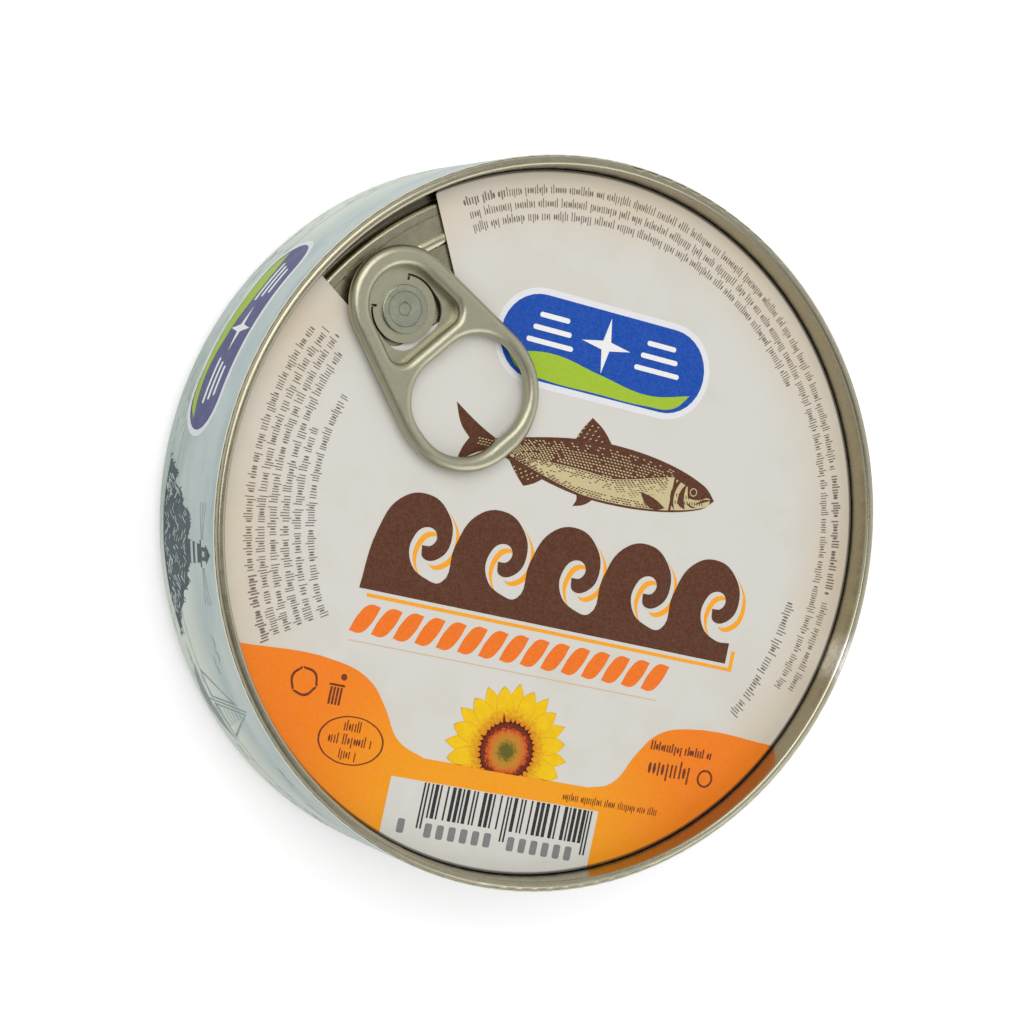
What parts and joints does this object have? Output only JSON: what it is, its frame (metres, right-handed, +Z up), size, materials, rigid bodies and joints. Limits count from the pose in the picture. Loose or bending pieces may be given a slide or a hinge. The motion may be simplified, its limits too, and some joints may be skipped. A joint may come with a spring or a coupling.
{
  "type": "round fish tin with pull tab",
  "caption": "Shut round flat tin of preserved herring with an easy-open lid, riveted ring-pull tab, printed paper disc on the lid and printed paper band round the side.",
  "frame": {"origin": "middle of the standing ring, on the surface the tin stands on", "axes": "+Z up through the lid, +Y towards the top of the print on the lid, +X the print's reading direction"},
  "size_m": [0.1026, 0.1026, 0.0263],
  "materials": {
    "lid_metal": "satin lacquered tinplate",
    "tab_metal": "satin lacquered tinplate",
    "body_enamel": "satin pale enamel",
    "disc_paper": "satin coated paper",
    "band_paper": "satin coated paper"
  },
  "bodies": {
    "root": {"can_body": "body_enamel", "can_end": "lid_metal", "pull_tab": "tab_metal", "lid_label": "disc_paper", "side_label": "band_paper"}
  },
  "joints": []
}
